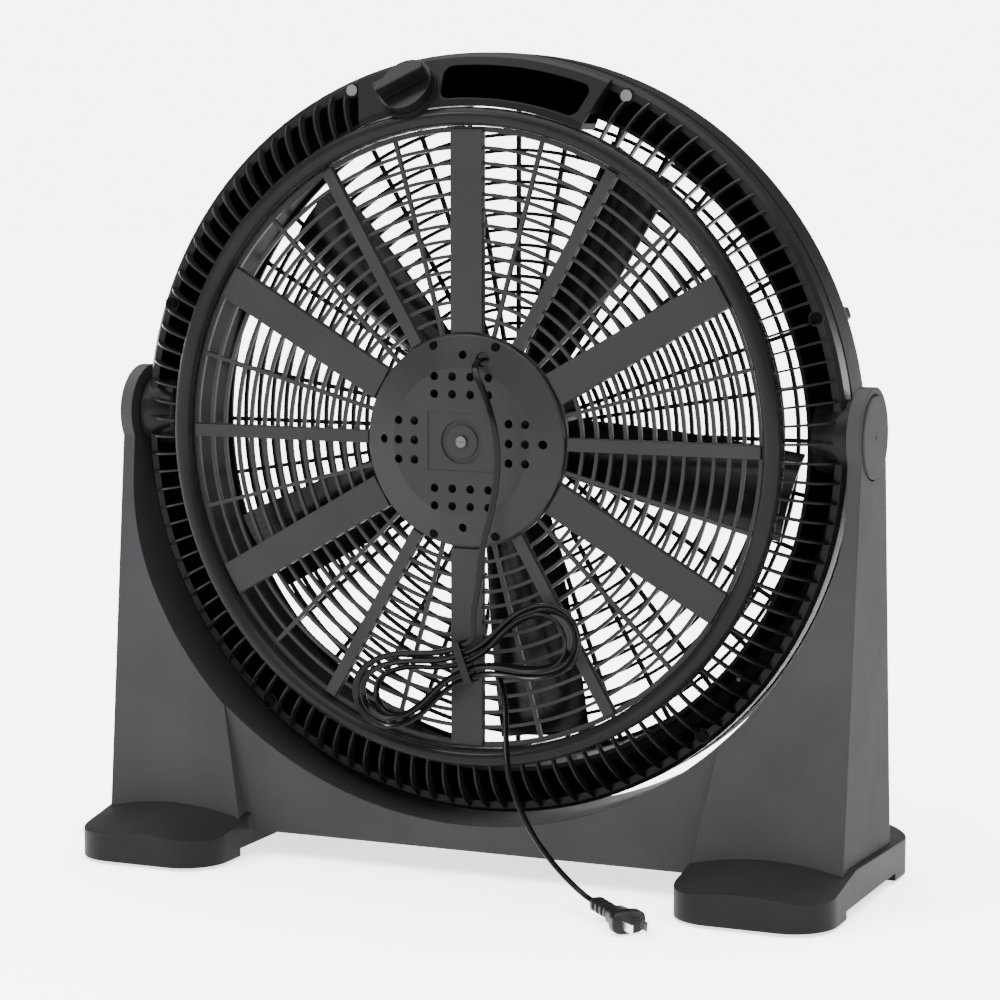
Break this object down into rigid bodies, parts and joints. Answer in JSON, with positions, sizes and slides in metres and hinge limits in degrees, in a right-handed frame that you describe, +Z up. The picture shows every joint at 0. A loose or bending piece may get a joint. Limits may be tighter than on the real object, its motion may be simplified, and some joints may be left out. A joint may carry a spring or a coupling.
{
  "type": "floor fan",
  "caption": "Charcoal plastic cradle floor fan whose round head tilts between two uprights, with a speed knob and a carry handle on its rear top edge and a tied cord.",
  "frame": {"origin": "centre of the footprint on the floor", "axes": "+Z up, air outlet side -Y, motor cover side +Y, X along the tilt axis"},
  "size_m": [0.606, 0.291, 0.615],
  "materials": {
    "stand_plastic": "fine-textured charcoal moulded plastic",
    "head_plastic": "satin charcoal moulded plastic",
    "black_plastic": "black moulded plastic",
    "blade_plastic": "glossy black",
    "pad_rubber": "matte rubber",
    "cord_rubber": "semi-gloss flexible jacket",
    "bright_steel": "zinc plated",
    "motor_steel": "ground steel",
    "bell_aluminium": "die cast",
    "winding_copper": "enamelled copper wire",
    "prong_brass": "nickel plated brass"
  },
  "bodies": {
    "stand": {"base_cradle": "stand_plastic", "foot_left": "stand_plastic", "foot_right": "stand_plastic", "foot_pads": "pad_rubber", "foot_screws": "bright_steel", "pivot_cap_left": "stand_plastic", "pivot_cap_right": "stand_plastic", "pivot_bolt_left": "bright_steel", "pivot_bolt_right": "bright_steel", "cord_tail": "cord_rubber", "plug_body": "cord_rubber", "plug_blades": "prong_brass"},
    "head": {"pivot_nut_left": "bright_steel", "pivot_nut_right": "bright_steel", "housing_screws": "bright_steel", "grille_screws": "bright_steel", "cover_screws": "bright_steel", "cover_centre_screw": "bright_steel", "motor_screws": "bright_steel", "friction_washer_left": "black_plastic", "friction_washer_right": "black_plastic", "switch_body": "black_plastic", "cord_gland": "black_plastic", "rear_housing": "head_plastic", "rear_guard": "head_plastic", "front_ring": "head_plastic", "front_grille": "head_plastic", "front_badge": "head_plastic", "handle_panel": "head_plastic", "motor_cover": "head_plastic", "motor_bell_rear": "bell_aluminium", "motor_bell_front": "bell_aluminium", "stator_core": "motor_steel", "motor_bearings": "motor_steel", "stator_windings": "winding_copper", "cord_drop": "cord_rubber", "cord_hank": "cord_rubber", "cord_tie": "cord_rubber"},
    "impeller": {"impeller": "blade_plastic", "motor_shaft": "motor_steel", "motor_rotor": "motor_steel", "blade_lock_nut": "motor_steel"},
    "knob": {"speed_knob": "black_plastic", "switch_spindle": "motor_steel"}
  },
  "joints": [
    {"name": "head_tilt", "type": "hinge", "parent": "stand", "child": "head", "pos_m": [0, 0, 0.34], "axis": [-1, 0, 0], "range_deg": [0, 90]},
    {"name": "blade_spin", "type": "hinge", "parent": "head", "child": "impeller", "pos_m": [0, 0, 0.33], "axis": [0, 1, 0], "continuous": true},
    {"name": "knob_turn", "type": "hinge", "parent": "head", "child": "knob", "pos_m": [0.04649, 0.04023, 0.58581], "axis": [-0.1003, -0.8279, -0.5518], "range_deg": [0, 135]}
  ]
}
